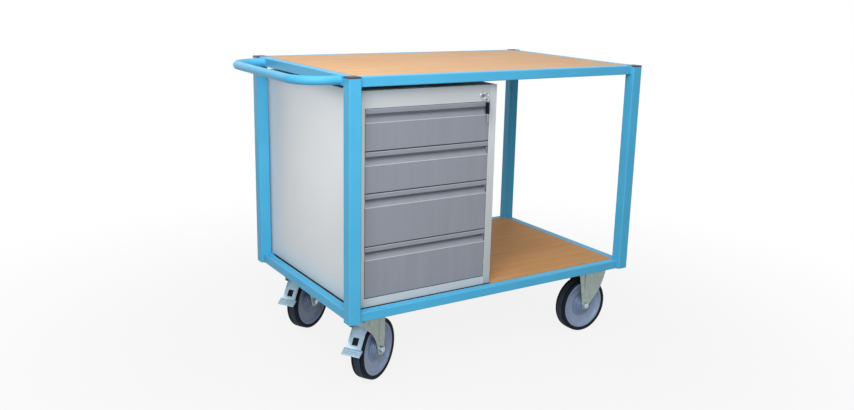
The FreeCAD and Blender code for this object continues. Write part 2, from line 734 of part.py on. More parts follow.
# Screws: boards to bearers, and cabinet to lower board
cabinet_screws = []
for x in (cab_x0 + cab_screw_inset, cab_x1 - cab_screw_inset):
    for y in (cab_y0 + cab_screw_inset, cab_y1 - cab_screw_inset):
        head = rod(x, y, cab_z0 + cab_sheet, (0, 0, 1), board_screw_head, board_screw_head_height)
        shank = rod(x, y, cab_z0 - board_screw_bite, (0, 0, 1), board_screw_diameter,
                    board_screw_bite + cab_sheet)
        cab_base = cab_base.cut(shank)
        boards["lower"] = boards["lower"].cut(shank)
        cabinet_screws.append(head.fuse(shank).removeSplitter())
nodes["cabinet_base"] = cab_base

# The lower board is cut back under the cabinet, which leaves a slot along the rails
board_low = lower_top - board_thickness
cut_back = box(inner_x0, inner_y0, board_low, cab_x1 - board_seat_inset, inner_y1, lower_top)
seat = box(cab_x0 + board_seat_inset, cab_y0 + board_seat_inset, board_low,
           cab_x1, cab_y1 - board_seat_inset, lower_top)
boards["lower"] = boards["lower"].cut(cut_back.cut(seat))
nodes["upper_deck_board"] = boards["upper"]
nodes["lower_deck_board"] = boards["lower"]
nodes["deck_screws"] = group(board_screws + cabinet_screws)

# Drawers: a front with a full-width grip, a tray, and three-part slides
slide_y0 = cab_y0 + front_thickness + slide_start_gap
slide_y1 = cab_y1 - cab_sheet - slide_rear_gap
drawer_travel = slide_y1 - slide_y0 - slide_overlap
tray_depth = cab_y1 - cab_sheet - tray_rear_gap - cab_y0 - front_thickness
outer_members = []


def channel(face_x, inward, web, depth, half_height, z):
    # A slide member: a web that stands web mm inside face_x, with flanges depth mm deep
    x0, x1 = face_x + inward * web, face_x + inward * (web + slide_sheet)
    back = box(min(x0, x1), slide_y0, z - half_height, max(x0, x1), slide_y1, z + half_height)
    x2 = face_x + inward * (web + depth)
    parts = [back]
    for side in (-1, 1):
        edge = sorted((z + side * half_height, z + side * (half_height - slide_sheet)))
        parts.append(box(min(x0, x2), slide_y0, edge[0], max(x0, x2), slide_y1, edge[1]))
    return joined(parts)


def drawer_front(z0, z1):
    # The section: lip, finger pocket behind it, sloping band and flat face
    y0, y1 = cab_y0, cab_y0 + front_thickness
    section = [(y0, z1), (y1, z1), (y1, z0), (y0, z0), (y0, z1 - grip_bend_drop),
               (y0 + grip_depth, z1 - grip_bend_drop + grip_slope_rise),
               (y0 + grip_depth, z1 - lip_height + grip_pocket_height),
               (y0 + lip_thickness, z1 - lip_height + grip_pocket_height),
               (y0 + lip_thickness, z1 - lip_height), (y0, z1 - lip_height)]
    front = prism_yz(section, open_x0 + drawer_side_gap, open_x1 - drawer_side_gap)
    bend_z = z1 - grip_bend_drop
    bend = edges_along(front, (1, 0, 0),
                       lambda c: abs(c.y - y0) < tolerance and abs(c.z - bend_z) < tolerance)
    front = front.makeFillet(grip_bend_radius, bend)
    rims = edges_along(front, (1, 0, 0),
                       lambda c: abs(c.y - y0) < tolerance and min(c.z - z0, z1 - c.z) < tolerance)
    front = front.makeFillet(front_edge_radius, rims)
    lip = edges_along(front, (1, 0, 0), lambda c: abs(c.z - z1 + lip_height) < tolerance)
    front = front.makeFillet(lip_edge_radius, lip)
    margin = slide_thickness + front_back_margin
    hollow = box(open_x0 + margin, y0 + front_skin, z0 + tray_floor_rise + front_back_margin,
                 open_x1 - margin, y1, z1 - grip_bend_drop - front_back_margin)
    return front.cut(hollow)


def drawer_tray(z0, z1):
    x0, x1 = open_x0 + slide_thickness, open_x1 - slide_thickness
    y0 = cab_y0 + front_thickness
    y1 = y0 + tray_depth
    low, high = z0 + tray_floor_rise, z1 - tray_head_room
    # Floor, sides, inner front and back: flat sheets spot welded along their edges
    foot = low + tray_sheet
    sheets = [box(x0, y0, low, x1, y1, foot)]
    for x in (x0, x1 - tray_sheet):
        sheets.append(box(x, y0, foot, x + tray_sheet, y1, high))
    for y in (y0, y1 - tray_sheet):
        sheets.append(box(x0 + tray_sheet, y, foot, x1 - tray_sheet, y + tray_sheet, high))
    return sheets


slot_top = top_rail_z
for number, pitch in enumerate(drawer_pitches, start=1):
    slot_bottom = slot_top - pitch
    z0, z1 = slot_bottom + drawer_gap / 2, slot_top - drawer_gap / 2
    slide_z = (z0 + tray_floor_rise + z1 - tray_head_room) / 2
    step = slide_sheet + slide_gap
    middle, inner = [], []
    for face_x, inward in ((open_x0, 1), (open_x1, -1)):
        outer_members.append(channel(face_x, inward, 0, slide_thickness - 2 * step,
                                     slide_height / 2, slide_z))
        middle.append(channel(face_x, inward, step, slide_thickness - 2 * step,
                              slide_height / 2 - step, slide_z))
        inner.append(channel(face_x + inward * slide_thickness, -inward, 0,
                             slide_thickness - 2 * step, slide_height / 2 - 2 * step, slide_z))
    nodes["drawer_front_%d" % number] = drawer_front(z0, z1)
    nodes["drawer_tray_%d" % number] = group(drawer_tray(z0, z1) + inner)
    nodes["slide_middle_%d" % number] = group(middle)
    slot_top = slot_bottom
nodes["slide_outer_members"] = group(outer_members)

# Lock: rosette and body in the top rail, barrel with cam, and the bar that the cam lifts
rosette_y = cab_y0 - lock_rosette_height
housing = rod(lock_x, rosette_y, lock_z, (0, 1, 0), lock_rosette_diameter, lock_rosette_height)
housing = housing.makeChamfer(lock_rosette_chamfer, [
    e for e in housing.Edges if e.BoundBox.YMax < rosette_y + tolerance])
housing = housing.fuse(rod(lock_x, cab_y0, lock_z, (0, 1, 0), lock_body_diameter,
                           lock_body_depth)).removeSplitter()
barrel_length = lock_rosette_height + lock_body_depth
housing = housing.cut(rod(lock_x, rosette_y, lock_z, (0, 1, 0),
                          barrel_diameter + 2 * running_gap, barrel_length))
nodes["lock_cylinder"] = housing

cam_rise = cam_radius * math.sin(math.radians(cam_half_swing))
cam_reach = cam_radius * math.cos(math.radians(cam_half_swing))
pin_place = (lock_x + cam_reach, lock_z - cam_rise)
barrel = rod(lock_x, rosette_y, lock_z, (0, 1, 0), barrel_diameter, barrel_length + cam_gap)
cam_arm = box(lock_x, cam_y, lock_z - cam_pin_diameter, lock_x + cam_radius,
              cam_y + cam_thickness, lock_z + cam_pin_diameter)
cam_arm = cam_arm.fuse(rod(lock_x + cam_radius, cam_y, lock_z, (0, 1, 0),
                           2 * cam_pin_diameter, cam_thickness)).removeSplitter()
cam_arm.rotate(V(lock_x, cam_y, lock_z), V(0, 1, 0), cam_half_swing)
cam_boss = rod(lock_x, cam_y, lock_z, (0, 1, 0), barrel_diameter, cam_thickness)
cam_pin_length = cam_thickness + cam_gap + bar_thickness + bar_guide_gap
cam_pin = rod(pin_place[0], cam_y, pin_place[1], (0, 1, 0), cam_pin_diameter, cam_pin_length)
slot_half = key_thickness / 2 + key_slot_gap
slot_rise = key_blade_height / 2 + key_slot_gap
slot_depth = key_blade_depth + key_slot_gap
keyway = box(lock_x - slot_half, rosette_y, lock_z - slot_rise,
             lock_x + slot_half, rosette_y + slot_depth, lock_z + slot_rise)
nodes["lock_barrel"] = joined([barrel, cam_boss, cam_arm, cam_pin]).cut(keyway)

bar_arm_half = cam_pin_diameter / 2 + bar_arm_wall
bar_z = pin_place[1]
strip = box(bar_x0, bar_y, cab_z0 + base_strip_height, bar_x1, bar_y + bar_thickness, bar_z)
arm = box(pin_place[0] - bar_arm_half, bar_y, bar_z - bar_arm_half,
          bar_x1, bar_y + bar_thickness, bar_z + bar_arm_half)
slot_reach = cam_radius - cam_reach + bar_slot_gap + cam_pin_diameter / 2
slot_height = cam_pin_diameter / 2 + bar_slot_gap
slot = box(pin_place[0] - slot_height, bar_y, bar_z - slot_height,
           pin_place[0] + slot_reach, bar_y + bar_thickness, bar_z + slot_height)
nodes["lock_bar"] = strip.fuse(arm).removeSplitter().cut(slot)

# Key in the lock, and the ring that hangs on its bow above the top drawer
bow_y = rosette_y - key_neck - key_bow_diameter / 2
blade = box(lock_x - key_thickness / 2, bow_y, lock_z - key_blade_height / 2,
            lock_x + key_thickness / 2, rosette_y + key_blade_depth, lock_z + key_blade_height / 2)
bow = rod(lock_x - key_thickness / 2, bow_y, lock_z, (1, 0, 0), key_bow_diameter, key_thickness)
bow_hole = rod(lock_x - key_thickness / 2, bow_y, lock_z, (1, 0, 0), key_hole_diameter,
               key_thickness)
nodes["lock_key"] = bow.fuse(blade).removeSplitter().cut(bow_hole)

ring_radius = ring_diameter / 2
ring_z = lock_z - key_hole_diameter / 2 + ring_wire / 2 + ring_gap - ring_radius
nodes["key_ring"] = Part.makeTorus(ring_radius, ring_wire / 2, V(lock_x, bow_y, ring_z),
                                   V(0, 1, 0))

os.makedirs("parts", exist_ok=True)
for name, shape in nodes.items():
    shape.exportStep("parts/%s.step" % name)
print(len(nodes), "nodes")
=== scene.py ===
import math

import bmesh
import bpy
from mathutils import Matrix, Vector


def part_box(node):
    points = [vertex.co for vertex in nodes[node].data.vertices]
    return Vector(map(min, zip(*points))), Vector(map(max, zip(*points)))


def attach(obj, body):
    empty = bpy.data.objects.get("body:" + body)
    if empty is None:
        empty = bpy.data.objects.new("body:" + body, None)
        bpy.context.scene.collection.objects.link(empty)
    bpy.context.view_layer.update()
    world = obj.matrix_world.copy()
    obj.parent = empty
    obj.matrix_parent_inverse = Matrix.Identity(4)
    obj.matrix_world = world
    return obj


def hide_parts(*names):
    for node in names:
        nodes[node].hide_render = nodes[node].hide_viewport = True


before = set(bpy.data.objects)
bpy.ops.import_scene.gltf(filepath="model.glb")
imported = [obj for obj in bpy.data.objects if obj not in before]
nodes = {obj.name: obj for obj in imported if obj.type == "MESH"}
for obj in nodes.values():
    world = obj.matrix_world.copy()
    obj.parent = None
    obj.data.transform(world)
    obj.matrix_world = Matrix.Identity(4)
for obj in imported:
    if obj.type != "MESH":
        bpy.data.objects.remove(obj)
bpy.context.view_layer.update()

MM = 0.001


# Posts: four uprights of 40 mm square steel tube, cut to length and welded to the rails.
# The whole frame is powder coated after welding, in a light workshop blue.
def linear(code):
    shares = [int(code[k:k + 2], 16) / 255 for k in (0, 2, 4)]
    return [s / 12.92 if s <= 0.04045 else ((s + 0.055) / 1.055) ** 2.4 for s in shares] + [1.0]


def feed(tree, node, inputs):
    # Links the sockets and sets the plain values
    for name, value in inputs.items():
        if isinstance(value, bpy.types.NodeSocket):
            tree.links.new(value, node.inputs[name])
        else:
            node.inputs[name].default_value = value


def add(tree, kind, inputs=None, **settings):
    node = tree.nodes.new(kind)
    for name, value in settings.items():
        setattr(node, name, value)
    feed(tree, node, inputs or {})
    return node


def noise(tree, place, width, detail, **more):
    # Noise with features about as wide as given, or with a width for each axis
    if isinstance(width, tuple):
        place = add(tree, "ShaderNodeMapping",
                    {"Vector": place, "Scale": tuple(1 / size for size in width)}).outputs["Vector"]
        width = 1.0
    inputs = {"Vector": place, "Scale": 1 / width, "Detail": detail}
    return add(tree, "ShaderNodeTexNoise", {**inputs, **more}).outputs["Fac"]


def mix(tree, share, first, second):
    return add(tree, "ShaderNodeMix", {0: share, 6: first, 7: second}, data_type="RGBA").outputs[2]


def spread(tree, value, low, high, start=0.0, end=1.0, **settings):
    # The value, with its range from start to end carried to low and high
    inputs = {"Value": value, "From Min": start, "From Max": end, "To Min": low, "To Max": high}
    return add(tree, "ShaderNodeMapRange", inputs, **settings).outputs["Result"]


def relief(tree, height, strength, depth):
    inputs = {"Height": height, "Strength": strength, "Distance": depth}
    return add(tree, "ShaderNodeBump", inputs).outputs["Normal"]


def material(name):
    made = bpy.data.materials.new(name)
    made.use_nodes = True
    tree = made.node_tree
    return made, tree, tree.nodes["Principled BSDF"], add(tree, "ShaderNodeTexCoord").outputs["Object"]


def dress(finish, *names):
    for name in names:
        for slot in nodes[name].material_slots:
            slot.material = finish


# Polyester powder coat: even and satin, with soft orange peel. The peel is about 1 mm wide
# on the real coat and is drawn 4 mm wide so that it shows.
blue_coat, tree, skin, place = material("powder_coated_steel_blue")
drift = noise(tree, place, 120 * MM, 3.0)
peel = noise(tree, place, 4 * MM, 2.0)
feed(tree, skin, {"Base Color": mix(tree, drift, linear("46a8d4"), linear("56b5de")),
                  "Roughness": spread(tree, drift, 0.3, 0.42),
                  "Normal": relief(tree, peel, 0.12, 0.3 * MM),
                  "Specular IOR Level": 0.15})
dress(blue_coat, *[name for name in nodes if name.startswith("post_") and name != "post_caps"])


# Rails: 30 mm square tube, butted between the posts at the two decks. Each end is welded to
# its post outside and below, and along the top where no board lies against it.
dress(blue_coat, "upper_long_rails", "upper_end_rails", "lower_long_rails", "lower_end_rails")


def piece(name, mesh, finishes, body, slot, *replaced):
    for finish in finishes:
        mesh.materials.append(finish)
    mesh.polygons.foreach_set("use_smooth", [True] * len(mesh.polygons))
    made = bpy.data.objects.new(name, mesh)
    bpy.context.scene.collection.objects.link(made)
    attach(made, body)
    if replaced:
        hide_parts(*replaced)


def path_mesh(name, lines, closed=False):
    # Lines of points as bare edges
    points, edges = [], []
    for line in lines:
        first, last = len(points), len(points) + len(line) - 1
        points += line
        edges += [(k, k + 1) for k in range(first, last)] + ([(last, first)] if closed else [])
    mesh = bpy.data.meshes.new(name)
    mesh.from_pydata(points, edges, [])
    return mesh


def plain(holder):
    # The mesh as the holder's modifiers leave it
    bpy.context.scene.collection.objects.link(holder)
    made = bpy.data.meshes.new_from_object(holder.evaluated_get(bpy.context.evaluated_depsgraph_get()))
    holder.modifiers.clear()
    bpy.data.objects.remove(holder)
    return made


def grown(mesh, group, values):
    # The plain mesh that a node group builds on a path, with its named inputs set first
    holder = bpy.data.objects.new(mesh.name + "_path", mesh)
    builder = holder.modifiers.new("build", "NODES")
    builder.node_group = group
    for item in group.interface.items_tree:
        if item.item_type == "SOCKET" and item.in_out == "INPUT" and item.name in values:
            builder[item.identifier] = values[item.name]
    made = plain(holder)
    made.materials.clear()
    made.polygons.foreach_set("material_index", [0] * len(made.polygons))
    return made


def node_group(name, inputs):
    group = bpy.data.node_groups.new(name, "GeometryNodeTree")
    for label, kind in inputs:
        group.interface.new_socket(label, in_out="INPUT", socket_type="NodeSocket" + kind)
    group.interface.new_socket("Result", in_out="OUTPUT", socket_type="NodeSocketGeometry")
    return group, add(group, "NodeGroupInput").outputs


def end_group(group, geometry, finish):
    # Real geometry in one finish is the group's result
    whole = add(group, "GeometryNodeRealizeInstances", {"Geometry": geometry})
    coated = add(group, "GeometryNodeSetMaterial",
                 {"Geometry": whole.outputs["Geometry"], "Material": finish})
    add(group, "NodeGroupOutput", {"Result": coated.outputs["Geometry"]})


# Weld bead: overlapping drops of metal along the seam, a little uneven in size.
weld_bead, given = node_group("weld_bead", (("Seam", "Geometry"), ("Spacing", "Float"),
                                            ("Radius", "Float"), ("Finish", "Material")))
seam = add(weld_bead, "GeometryNodeMeshToCurve", {"Mesh": given["Seam"]})
drops = add(weld_bead, "GeometryNodeResampleCurve",
            {"Curve": seam.outputs["Curve"], "Length": given["Spacing"]}, mode="LENGTH")
drop = add(weld_bead, "GeometryNodeMeshIcoSphere", {"Radius": given["Radius"], "Subdivisions": 2})
uneven = add(weld_bead, "FunctionNodeRandomValue", {2: 0.8, 3: 1.1, "Seed": 7}, data_type="FLOAT")
laid = add(weld_bead, "GeometryNodeInstanceOnPoints",
           {"Points": drops.outputs["Curve"], "Instance": drop.outputs["Mesh"], "Scale": uneven.outputs[1]})
end_group(weld_bead, laid.outputs["Instances"], given["Finish"])

# An upper seam starts at the post's end, just below the rail's top, and a lower one starts on the
# bare top of its rail.
BEAD = {"Spacing": 2.2 * MM, "Radius": 1.9 * MM, "Finish": blue_coat}
BELOW_TOP = 3 * MM
ON_TOP = 22 * MM
RAIL = 30 * MM
seams = []
for level in ("upper", "lower"):
    for run in ("long", "end"):
        low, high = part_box("%s_%s_rails" % (level, run))
        along, across = (0, 1) if run == "long" else (1, 0)
        for end in (low[along], high[along]):
            for outer, inward in ((low[across], 1), (high[across], -1)):
                top = high.z - (BELOW_TOP if level == "upper" else 0)
                corners = [(outer, top), (outer, low.z), (outer + inward * RAIL, low.z)]
                if level == "lower":
                    corners.insert(0, (outer + inward * ON_TOP, top))
                seam = []
                for side, z in corners:
                    spot = Vector((0, 0, z))
                    spot[along], spot[across] = end, side
                    seam.append(spot)
                seams.append(seam)
beads = grown(path_mesh("frame_welds", seams), weld_bead, BEAD)
piece("frame_welds", beads, [blue_coat], "frame", "blue_paint")


# Post caps: moulded polyethylene plugs, pushed into the post ends and left slightly proud.
# Moulded plastic: near black with a violet cast and a fine spark-eroded grain, drawn at 1 mm.
cap_plastic, tree, skin, place = material("moulded_polyethylene_dark")
grain = noise(tree, place, 1 * MM, 2.0)
feed(tree, skin, {"Base Color": mix(tree, grain, linear("262234"), linear("363146")),
                  "Roughness": 0.5,
                  "Normal": relief(tree, grain, 0.2, 0.2 * MM)})
dress(cap_plastic, "post_caps")


# Push handle: round steel tube bent twice, its ends welded to the end rail inside the posts
# and coated with the frame.
round_tube, given = node_group("tube_along_path", (("Path", "Geometry"), ("Radius", "Float"),
                                                   ("Sides", "Int"), ("Finish", "Material")))
bent = add(round_tube, "GeometryNodeMeshToCurve", {"Mesh": given["Path"]})
ring = add(round_tube, "GeometryNodeCurvePrimitiveCircle",
           {"Radius": given["Radius"], "Resolution": given["Sides"]})
drawn = add(round_tube, "GeometryNodeCurveToMesh",
            {"Curve": bent.outputs["Curve"], "Profile Curve": ring.outputs["Curve"], "Fill Caps": True})
end_group(round_tube, drawn.outputs["Mesh"], given["Finish"])


def around(count):
    # Angles of equal steps round a circle
    return [2 * math.pi * k / count for k in range(count)]


low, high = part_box("push_handle")
tube = (high.z - low.z) / 2
BEND, BEND_STEPS = 95 * MM, 24
level = (low.z + high.z) / 2
grip_x, arm_y = low.x + tube, high.y - tube
line = [Vector((high.x, -arm_y, level))]
for side, first in ((-1, -90), (1, 180)):
    centre = Vector((grip_x + BEND, side * (arm_y - BEND), level))
    for k in range(BEND_STEPS + 1):
        angle = math.radians(first - 90 * k / BEND_STEPS)
        line.append(centre + BEND * Vector((math.cos(angle), math.sin(angle), 0)))
line.append(Vector((high.x, arm_y, level)))
bent_tube = grown(path_mesh("push_handle_tube", [line]), round_tube,
                  {"Radius": tube, "Sides": 40, "Finish": blue_coat})
piece("push_handle_tube", bent_tube, [blue_coat], "frame", "blue_paint", "push_handle")
rings = [[Vector((high.x, side * arm_y + tube * math.sin(a), level + tube * math.cos(a)))
          for a in around(40)] for side in (-1, 1)]
beads = grown(path_mesh("push_handle_welds", rings, True), weld_bead, BEAD)
piece("push_handle_welds", beads, [blue_coat], "frame", "blue_paint")


# Deck bearers: flat steel bars welded under the boards, coated with the frame, and the
# plates that carry the casters at the four corners.
dress(blue_coat, "board_bearers", "caster_mount_plates")


# Deck boards: beech-faced panels let in between the rails, one above and one below, screwed
# to the bearers from underneath. The upper one is lacquered; the lower one is oiled, and its darker, more
# orange tones are in part painted shade and bounce light from under the upper deck.
# The upper board's underside is backed with dark paper against warping.

# Beech: long figure about 14 mm wide and short dark flecks, 1 mm wide on the real wood and
# drawn 2.5 mm wide so that they show. The strip of the lower board that is left bare round the
# cabinet is darkened with painted shade, for the shadow in the narrow gap beside the cabinet.
cabinet_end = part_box("cabinet_side_right")[1].x
faces = []
for finish, tones, shine, gap_shade_tone in (
        ("lacquered_beech_panel", ("cb9e72", "d5ae86", "bf8e5c", "a37146"), 0.25, None),
        # The lower board's darker, more orange tones are in part painted shade and bounce light from under
        # the upper deck
        ("oiled_beech_panel_painted_shade", ("c48e56", "d09c64", "b67c44", "986236"), 0.15, "2a2420")):
    pale, warm, band, dark = (linear(tone) for tone in tones)
    beech, tree, skin, place = material(finish)
    figure = noise(tree, place, (420 * MM, 14 * MM, 14 * MM), 4.0, Roughness=0.55, Distortion=0.6)
    fleck = noise(tree, place, (26 * MM, 2.5 * MM, 2.5 * MM), 1.0)
    wood = mix(tree, noise(tree, place, 260 * MM, 2.0), pale, warm)
    wood = mix(tree, spread(tree, figure, 0.0, 0.45, 0.35, 0.72), wood, band)
    wood = mix(tree, spread(tree, fleck, 0.0, 0.4, 0.58, 0.74), wood, dark)
    # Painted shade: the board left of the cabinet's right side is darkened, for the shadow in the gap round
    # the cabinet
    if gap_shade_tone:
        x = add(tree, "ShaderNodeSeparateXYZ", {"Vector": place}).outputs["X"]
        painted_gap_shade = spread(tree, x, 0.0, 0.85, cabinet_end + 2 * MM, cabinet_end)
        wood = mix(tree, painted_gap_shade, wood, linear(gap_shade_tone))
    feed(tree, skin, {"Base Color": wood,
                      "Roughness": spread(tree, figure, 0.48, 0.65),
                      "Normal": relief(tree, figure, 0.08, 0.4 * MM),
                      "Specular IOR Level": shine})
    faces.append(beech)
dress(faces[1], "lower_deck_board")

# Backing paper: resin-soaked, brown-black and matt, with a cloudy tone.
backing, tree, skin, place = material("resin_backing_paper")
cloud = noise(tree, place, 40 * MM, 3.0)
feed(tree, skin, {"Base Color": mix(tree, cloud, linear("17130f"), linear("241d17")),
                  "Roughness": 0.7,
                  "Specular IOR Level": 0.2})


def to_mesh(work, name):
    mesh = bpy.data.meshes.new(name)
    work.to_mesh(mesh)
    work.free()
    return mesh


def merged(source):
    # A copy of a CAD mesh as joined faces
    work = bmesh.new()
    work.from_mesh(nodes[source].data)
    bmesh.ops.remove_doubles(work, verts=work.verts, dist=0.002 * MM)
    bmesh.ops.dissolve_limit(work, angle_limit=math.radians(0.5), verts=work.verts, edges=work.edges)
    return to_mesh(work, source + "_merged")


def eased(mesh, width, steps=2):
    # The mesh with its sharp edges rounded over, and its flat faces left flat
    mesh.materials.clear()
    mesh.polygons.foreach_set("use_smooth", [True] * len(mesh.polygons))
    holder = bpy.data.objects.new(mesh.name + "_sharp", mesh)
    edge = holder.modifiers.new("edge", "BEVEL")
    edge.width, edge.segments = width * MM, steps
    edge.limit_method, edge.angle_limit = "ANGLE", math.radians(35)
    edge.harden_normals, edge.use_clamp_overlap = True, False
    return plain(holder)


mesh = eased(merged("upper_deck_board"), 0.6)
for face in mesh.polygons:
    face.material_index = int(face.normal.z < -0.5)
piece("upper_deck_board_backed", mesh, [faces[0], backing], "frame", "beech_board", "upper_deck_board")


# Fasteners: deck screws, caster bolts and axles of zinc plated steel, bright and faintly blue.
# Clear passivated zinc: a soft shine with cloudy patches a few millimetres wide.
bright_zinc, tree, skin, place = material("clear_passivated_zinc")
cloud = noise(tree, place, 7 * MM, 3.0)
feed(tree, skin, {"Base Color": mix(tree, cloud, linear("9db0bd"), linear("c9d8e2")),
                  "Roughness": spread(tree, cloud, 0.25, 0.42),
                  "Metallic": 0.85})
dress(bright_zinc, "deck_screws", "caster_bolts", "swivel_bearings")


def eased_piece(node, width, finish, body, slot, steps=2):
    # The CAD node with its edges rounded over
    piece(node + "_eased", eased(merged(node), width, steps), [finish], body, slot, node)


eased_piece("fixed_axles", 0.7, bright_zinc, "frame", "zinc_steel")
for end in ("front", "rear"):
    eased_piece("swivel_axle_" + end, 0.7, bright_zinc, "swivel_" + end, "zinc_steel")


# Caster housings: forks and top plates pressed from thick sheet steel and zinc plated. The
# edges are rounded by the press, and the fixed legs carry raised ridges that stiffen them.
# Passivated zinc on pressed steel: duller, faintly yellow-green, with a spangle near 9 mm.
fork_zinc, tree, skin, place = material("passivated_zinc_pressed_steel")
spangle = add(tree, "ShaderNodeTexVoronoi", {"Vector": place, "Scale": 1 / (9 * MM)})
cloud = add(tree, "ShaderNodeTexNoise", {"Vector": place, "Scale": 1 / (22 * MM), "Detail": 4.0})
mottle = mix(tree, 0.35, cloud.outputs["Color"], spangle.outputs["Color"])
shade = add(tree, "ShaderNodeSeparateColor", {"Color": mottle})
feed(tree, skin, {"Base Color": mix(tree, shade.outputs[0], linear("86948f"), linear("adb9b4")),
                  "Roughness": spread(tree, shade.outputs[0], 0.34, 0.5),
                  "Metallic": 0.75})
dress(fork_zinc, "swivel_plates")


def ridge(offset, half):
    # Height of a soft ridge at an offset from its middle, as a share
    return (1 + math.cos(math.pi * offset / half)) / 2 if abs(offset) < half else 0.0


# Sizes in mm: the ridges' middles, half widths and heights across the leg, the level where they
# rise and the run in which they reach full height, and the leg's outer face from the wheel's middle
RIDGES = ((-44, 9, 1.8), (-8, 17, 2.6), (27, 14, 1.6))
RISE, RUN = 122, 50
FACE = (30.9, 34)
BEND_ROOM = 5
legs = bmesh.new()
legs.from_mesh(merged("fixed_forks"))
low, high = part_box("fixed_forks")
middle = (low.x + high.x) / 2
cuts = [((middle + x * MM, 0, 0), (1, 0, 0)) for x in range(-66, 67, 3)]
cuts += [((0, 0, z * MM), (0, 0, 1)) for z in range(RISE, 180, 6)]
for spot, normal in cuts:
    everything = legs.verts[:] + legs.edges[:] + legs.faces[:]
    bmesh.ops.bisect_plane(legs, geom=everything, plane_co=spot, plane_no=normal)
for end in ("front", "rear"):
    wheel_low, wheel_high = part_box("fixed_wheel_tyre_" + end)
    wheel_y = (wheel_low.y + wheel_high.y) / 2
    for corner in legs.verts:
        out = corner.co.y - wheel_y
        if FACE[0] * MM < abs(out) < FACE[1] * MM and corner.co.z < high.z - BEND_ROOM * MM:
            across = (corner.co.x - middle) / MM
            share = min(max((corner.co.z / MM - RISE) / RUN, 0), 1)
            swell = sum(height * ridge(across - spot, half) for spot, half, height in RIDGES)
            corner.co.y += math.copysign(swell * share * MM, out)
pressed = to_mesh(legs, "fixed_forks_pressed")
piece("fixed_forks_eased", eased(pressed, 1.1, 3), [fork_zinc], "frame", "zinc_steel", "fixed_forks")
for end in ("front", "rear"):
    eased_piece("swivel_fork_" + end, 1.1, fork_zinc, "swivel_" + end, "zinc_steel", 3)


# Wheels: grey polyamide rims moulded in one piece, with solid rubber tyres 206 mm across.
# Moulded polyamide: satin blue-grey, slightly cloudy where the melt met. This darker copy on the hub and
# inner dish is painted shade near the hub and fork.
rim_plastic, tree, skin, place = material("polyamide_grey_painted_hub_shade")
melt = noise(tree, place, 30 * MM, 3.0)
feed(tree, skin, {"Base Color": mix(tree, melt, linear("61779a"), linear("788eae")),
                  "Roughness": spread(tree, melt, 0.26, 0.38)})

# Outer polyamide: the rim's own paler blue-grey on the dish towards the flange, slightly cloudy.
outer_rim_plastic, tree, skin, place = material("outer_polyamide_grey")
outer_cloud = noise(tree, place, 16 * MM, 4.0)
feed(tree, skin, {"Base Color": mix(tree, outer_cloud, linear("7d91b0"), linear("9caecb")),
                  "Roughness": spread(tree, outer_cloud, 0.3, 0.45)})

# Solid rubber: nearly black and matt, with a skin grain drawn 1.5 mm wide.
rubber, tree, skin, place = material("solid_rubber_black")
grain = noise(tree, place, 1.5 * MM, 3.0)
feed(tree, skin, {"Base Color": mix(tree, grain, linear("10151e"), linear("1b222d")),
                  "Roughness": 0.6,
                  "Normal": relief(tree, grain, 0.15, 0.3 * MM),
                  "Specular IOR Level": 0.1})

# Worn rubber: the running band has lost its skin and is greyer and drier, in patches.
worn_rubber, tree, skin, place = material("worn_rubber_tread")
patch = noise(tree, place, 18 * MM, 4.0)
feed(tree, skin, {"Base Color": mix(tree, patch, linear("29333f"), linear("404b58")),
                  "Roughness": 0.7,
                  "Normal": relief(tree, patch, 0.2, 0.3 * MM),
                  "Specular IOR Level": 0.12})


def rounded(points, radius, steps=3):
    # The open line of points with its inner corners rounded
    line = [points[0]]
    for before, corner, after in zip(points, points[1:], points[2:]):
        a, b = Vector(before) - Vector(corner), Vector(after) - Vector(corner)
        reach = min(radius, a.length * 0.45, b.length * 0.45)
        start, end = Vector(corner) + a.normalized() * reach, Vector(corner) + b.normalized() * reach
        for k in range(steps + 1):
            t = k / steps
            line.append(tuple((1 - t) ** 2 * start + 2 * t * (1 - t) * Vector(corner) + t * t * end))
    return line + [points[-1]]


def turned_mesh(name, profile, centre, axle, steps, marked):
    # A closed profile of (radius, width) in mm, turned about the axle line through centre. Where
    # both its ends lie beyond the marked radius, a face takes the second material.
    work = bmesh.new()
    out = Vector((0, 0, 1))
    across = axle.cross(out)
    rings = []
    for angle in around(steps):
        ray = out * math.cos(angle) + across * math.sin(angle)
        rings.append([work.verts.new(centre + ray * radius * MM + axle * width * MM)
                      for radius, width in profile])
    count = len(profile)
    for k in range(steps):
        here, there = rings[k], rings[(k + 1) % steps]
        for s in range(count):
            t = (s + 1) % count
            face = work.faces.new((here[s], here[t], there[t], there[s]))
            face.material_index = int(min(profile[s][0], profile[t][0]) > marked)
    bmesh.ops.recalc_face_normals(work, faces=work.faces)
    return to_mesh(work, name)


# The turn of the swivel casters at rest, and half profiles as (radius, width) in mm, drawn for a
# 200 mm wheel and then let out to 206 mm outside the hub. Beyond the last two radii the tyre is
# worn and the rim takes its paler tone; inside them the rim is darker, painted shade near the hub and fork.
YAW = math.radians(30)
LET_OUT, HUB = 3, 40
TREAD, DISH = 102.45, 47.5
half_tyre = [(86, 20), (88.2, 22.2), (91, 22.5), (96.2, 22.4), (98.4, 20.8), (99.4, 18.4),
             (99.4, 16), (97.4, 15), (97.4, 13.2), (99.6, 12.2), (100, 6)]
half_rim = [(10.05, 26.5), (15, 26.5), (17.5, 25.6), (18.2, 23), (23, 22.4), (24.2, 18.6),
            (29, 17.8), (30.4, 13.6), (35, 12.4), (37, 9.6), (45, 8.6), (60, 9.2), (70, 11),
            (75.5, 14.2), (77, 18.4), (79, 20), (83.4, 20.4), (86, 20)]
tyre_side = [(r + LET_OUT, w) for r, w in rounded(half_tyre, 1.0)]
rim_side = [(r if r < HUB else r + LET_OUT, w) for r, w in rounded(half_rim, 1.3)]
tyre_profile, rim_profile = (side + [(r, -w) for r, w in reversed(side)] for side in (tyre_side, rim_side))
